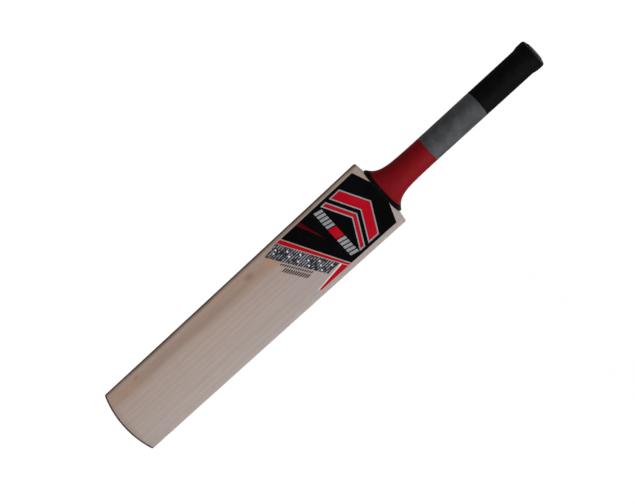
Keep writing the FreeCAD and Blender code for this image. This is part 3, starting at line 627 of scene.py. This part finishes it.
def closed_sleeve(name, outer, inner, base):
    """Mesh of a sleeve, with a UV map in metres and a mask that is 1 on its outside."""
    mesh = bmesh.new()
    rings = outer + inner
    made = []
    for ring in rings:
        row = []
        for turn, reach, height in ring:
            row.append(mesh.verts.new((reach * math.cos(turn), HANDLE_Y + reach * math.sin(turn), height)))
        made.append(row)
    uv = mesh.loops.layers.uv.new("wrap")
    last = len(outer) - 1
    for row in range(len(made)):
        following = (row + 1) % len(made)
        for step in range(AROUND):
            onward = (step + 1) % AROUND
            corners = (made[row][step], made[row][onward], made[following][onward], made[following][step])
            face = mesh.faces.new(corners)
            face.smooth = row != last and following != 0
            for loop, along in zip(face.loops, (step, step + 1, step + 1, step)):
                loop[uv].uv = (along / AROUND * 2 * math.pi * GRIP_RADIUS, loop.vert.co.z - base)
    bmesh.ops.recalc_face_normals(mesh, faces=mesh.faces)
    data = bpy.data.meshes.new(name)
    mesh.to_mesh(data)
    mesh.free()
    outside = data.attributes.new("outside", "FLOAT", "POINT")
    for row in range(PLAIN_ROWS, last + 1 - PLAIN_ROWS):
        for step in range(AROUND):
            outside.data[row * AROUND + step].value = 1.0
    piece = bpy.data.objects.new(name, data)
    bpy.context.scene.collection.objects.link(piece)
    return piece


def relief_tree():
    """Crossing spiral grooves, pressed into the outside of a sleeve round the handle's line."""
    tree = bpy.data.node_groups.new("grip_relief", "GeometryNodeTree")
    sockets = (("Sleeve", "Geometry"), ("Depth", "Float"), ("Starts", "Float"), ("Pitch", "Float"),
               ("Handle Line", "Float"), ("Finish", "Material"))
    for label, kind in sockets:
        tree.interface.new_socket(label, in_out="INPUT", socket_type="NodeSocket" + kind)
    tree.interface.new_socket("Sleeve", in_out="OUTPUT", socket_type="NodeSocketGeometry")
    given = tree.nodes.new("NodeGroupInput").outputs
    result = tree.nodes.new("NodeGroupOutput").inputs
    place = add(tree, "GeometryNodeInputPosition").outputs[0]
    parts = add(tree, "ShaderNodeSeparateXYZ", {0: place}).outputs
    depth_of_handle = calc(tree, "SUBTRACT", parts[1], given["Handle Line"])
    turn = calc(tree, "ARCTAN2", depth_of_handle, parts[0])
    around = calc(tree, "MULTIPLY", calc(tree, "DIVIDE", turn, 2 * math.pi), given["Starts"])
    along = calc(tree, "DIVIDE", parts[2], given["Pitch"])
    ridges = []
    for spiral in (calc(tree, "ADD", around, along), calc(tree, "SUBTRACT", around, along)):
        wave = calc(tree, "COSINE", calc(tree, "MULTIPLY", spiral, 2 * math.pi))
        ridges.append(calc(tree, "MULTIPLY_ADD", wave, 0.5, 0.5))
    groove = calc(tree, "SUBTRACT", 1.0, calc(tree, "MULTIPLY", ridges[0], ridges[1]))
    mask = add(tree, "GeometryNodeInputNamedAttribute", {"Name": "outside"}, data_type="FLOAT").outputs[0]
    sink = calc(tree, "MULTIPLY", calc(tree, "MULTIPLY", groove, mask), given["Depth"])
    flat = add(tree, "ShaderNodeCombineXYZ", {0: parts[0], 1: depth_of_handle}).outputs[0]
    outward = add(tree, "ShaderNodeVectorMath", {0: flat}, operation="NORMALIZE").outputs[0]
    inward = calc(tree, "MULTIPLY", sink, -1.0)
    push = add(tree, "ShaderNodeVectorMath", {0: outward, 3: inward}, operation="SCALE").outputs[0]
    pressed = add(tree, "GeometryNodeSetPosition", {"Geometry": given["Sleeve"], "Offset": push})
    whole = add(tree, "GeometryNodeRealizeInstances", {0: pressed.outputs[0]})
    finish = {"Geometry": whole.outputs[0], "Material": given["Finish"]}
    dressed = add(tree, "GeometryNodeSetMaterial", finish)
    tree.links.new(dressed.outputs[0], result["Sleeve"])
    return tree


def press_relief(sleeve, tree, finish, depth):
    """Runs the relief tree on a sleeve and keeps the result as its plain mesh."""
    modifier = sleeve.modifiers.new("relief", "NODES")
    modifier.node_group = tree
    values = {"Depth": depth, "Starts": float(STARTS), "Pitch": GROOVE_CLIMB, "Handle Line": HANDLE_Y,
              "Finish": finish}
    for item in tree.interface.items_tree:
        if item.in_out == "INPUT" and item.name in values:
            modifier[item.identifier] = values[item.name]
    depsgraph = bpy.context.evaluated_depsgraph_get()
    pressed = bpy.data.meshes.new_from_object(sleeve.evaluated_get(depsgraph))
    sleeve.modifiers.remove(modifier)
    sleeve.data = pressed


def wrap_handle():
    """Puts the tape and the three rubbers on the handle in place of their plain solids."""
    surface = grip_surface()
    relief = relief_tree()
    tape_low = (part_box("neck_tape")[0][2], 0.0)
    tape_high = (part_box("grip_red")[0][2], 0.0)
    red_high = joint("grip_red", "grip_grey")
    grey_high = joint("grip_grey", "grip_black")
    top = (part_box("grip_black")[1][2], 0.0)
    wraps = (
        ("neck_tape_wrap", "neck_tape", "neck_tape", tape_low, tape_high, 0.50 * MM),
        ("red_grip", "grip_red", "red_rubber", tape_high, red_high, 0.35 * MM),
        ("grey_grip", "grip_grey", "grey_rubber", red_high, grey_high, 0.25 * MM),
        ("black_grip", "grip_black", "black_rubber", grey_high, top, 0.25 * MM),
    )
    for name, node, slot, low, high, edge in wraps:
        moulded = slot != "neck_tape"
        wall = RUBBER_WALL if moulded else TAPE_WALL
        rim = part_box("end_cap")[1][0] if high is top else None
        sleeve = wrap(name, surface, low, high, wall, edge, rim)
        press_relief(sleeve, relief, FINISHES[slot], GROOVE_DEPTH if moulded else 0.0)
        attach(sleeve, "root")
        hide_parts(node)


def finish_frame_nodes():
    """Gives each node that stays in view the finish of its slot."""
    for part in frame["record"]["subparts"]:
        piece = NODES.get(part["node"])
        if piece is None:
            continue
        for slot in piece.material_slots:
            slot.material = FINISHES[part["material_slot"]]


# ---- studio ----

LENS_MM = 82.0
SENSOR_MM = 36.0
CAMERA_TURN = math.radians(1.06)
CAMERA_RISE = math.radians(16.56)
CAMERA_ROLL = math.radians(47.62)
CAMERA_DISTANCE = 2.0843
AIM_RIGHT = -6.15 * MM
AIM_UP = -8.45 * MM

# How bright the cove looks, how much it lights the bat, and the strength of the sky.
BACKDROP_GLOW = 1.06
COVE_GLOW = 0.24
SKY_GLOW = 0.36


def camera_axes():
    """The camera's right, up and backward directions."""
    level_reach = math.cos(CAMERA_RISE)
    back = Vector((math.sin(CAMERA_TURN) * level_reach, -math.cos(CAMERA_TURN) * level_reach,
                   math.sin(CAMERA_RISE)))
    level = (-back).cross(Vector((0, 0, 1))).normalized()
    upright = level.cross(-back)
    right = math.cos(CAMERA_ROLL) * level + math.sin(CAMERA_ROLL) * upright
    up = -math.sin(CAMERA_ROLL) * level + math.cos(CAMERA_ROLL) * upright
    return right, up, back


def set_camera():
    """A camera that looks at the middle of the bat, a little from above and rolled."""
    right, up, back = camera_axes()
    lens = bpy.data.cameras.new("studio_camera")
    lens.lens = LENS_MM
    lens.sensor_width = SENSOR_MM
    lens.clip_end = 30
    camera = bpy.data.objects.new("studio_camera", lens)
    bpy.context.scene.collection.objects.link(camera)
    spot = BAT_MIDDLE + AIM_RIGHT * right + AIM_UP * up + CAMERA_DISTANCE * back
    camera.matrix_world = Matrix((
        (right.x, up.x, back.x, spot.x),
        (right.y, up.y, back.y, spot.y),
        (right.z, up.z, back.z, spot.z),
        (0, 0, 0, 1),
    ))
    bpy.context.scene.camera = camera


def make_cove():
    """A pale round floor that sweeps up into a wall on every side."""
    flat = 3.2
    sweep = 1.6
    wall = 4.6
    bends = 8
    around = 72
    profile = [(0.0, 0.0), (flat * 0.5, 0.0), (flat, 0.0)]
    for step in range(1, bends + 1):
        turn = math.radians(90 * step / bends)
        profile.append((flat + sweep * math.sin(turn), sweep * (1 - math.cos(turn))))
    profile.append((flat + sweep, wall))
    mesh = bmesh.new()
    centre = mesh.verts.new((0, 0, 0))
    rings = []
    turns = [2 * math.pi * step / around for step in range(around)]
    for reach, height in profile[1:]:
        corners = [(reach * math.cos(turn), reach * math.sin(turn), height) for turn in turns]
        rings.append([mesh.verts.new(corner) for corner in corners])
    for step in range(around):
        onward = (step + 1) % around
        mesh.faces.new((centre, rings[0][step], rings[0][onward]))
        for low, high in zip(rings, rings[1:]):
            mesh.faces.new((low[step], high[step], high[onward], low[onward]))
    for face in mesh.faces:
        face.smooth = True
    data = bpy.data.meshes.new("studio_cove")
    mesh.to_mesh(data)
    mesh.free()
    cove = bpy.data.objects.new("studio_cove", data)
    bpy.context.scene.collection.objects.link(cove)
    data.materials.append(cove_paint())


def cove_paint():
    """Pale matt paint with a glow of its own, which looks white and throws little light on the bat."""
    material = bpy.data.materials.new("pale_cove_paint")
    material.use_nodes = True
    tree = material.node_tree
    tree.nodes.clear()
    seen = add(tree, "ShaderNodeLightPath").outputs["Is Camera Ray"]
    strength = calc(tree, "MULTIPLY_ADD", seen, BACKDROP_GLOW - COVE_GLOW, COVE_GLOW)
    glow = add(tree, "ShaderNodeEmission", {"Color": (1, 1, 1, 1), "Strength": strength}).outputs[0]
    matt = add(tree, "ShaderNodeBsdfDiffuse", {"Color": (0.8, 0.8, 0.8, 1)}).outputs[0]
    share = calc(tree, "MULTIPLY_ADD", seen, 0.42, 0.5)
    both = add(tree, "ShaderNodeMixShader", {0: share, 1: matt, 2: glow}).outputs[0]
    add(tree, "ShaderNodeOutputMaterial", {0: both})
    return material


def soft_light(name, spot, width, power):
    """A round lamp at a spot, aimed at the middle of the bat."""
    data = bpy.data.lights.new(name, "AREA")
    data.shape = "DISK"
    data.size = width
    data.energy = power
    light = bpy.data.objects.new(name, data)
    light.location = spot
    light.rotation_euler = (BAT_MIDDLE - Vector(spot)).to_track_quat("-Z", "Y").to_euler()
    bpy.context.scene.collection.objects.link(light)


def light_studio():
    """A soft sky, a low key lamp on the right, a weak fill and a rim lamp behind."""
    world = bpy.data.worlds.new("soft_sky")
    world.use_nodes = True
    sky = world.node_tree.nodes["Background"]
    sky.inputs["Color"].default_value = (1, 1, 1, 1)
    sky.inputs["Strength"].default_value = SKY_GLOW
    bpy.context.scene.world = world
    soft_light("key_light", (2.2, -1.5, 0.25), 1.2, 58.0)
    soft_light("fill_light", (-1.2, -2.2, 1.6), 1.6, 4.5)
    soft_light("rim_light", (0.6, 1.9, 1.7), 1.4, 24.0)


finish_frame_nodes()
wrap_handle()
make_cove()
light_studio()
set_camera()
bpy.context.scene.view_settings.view_transform = "Standard"
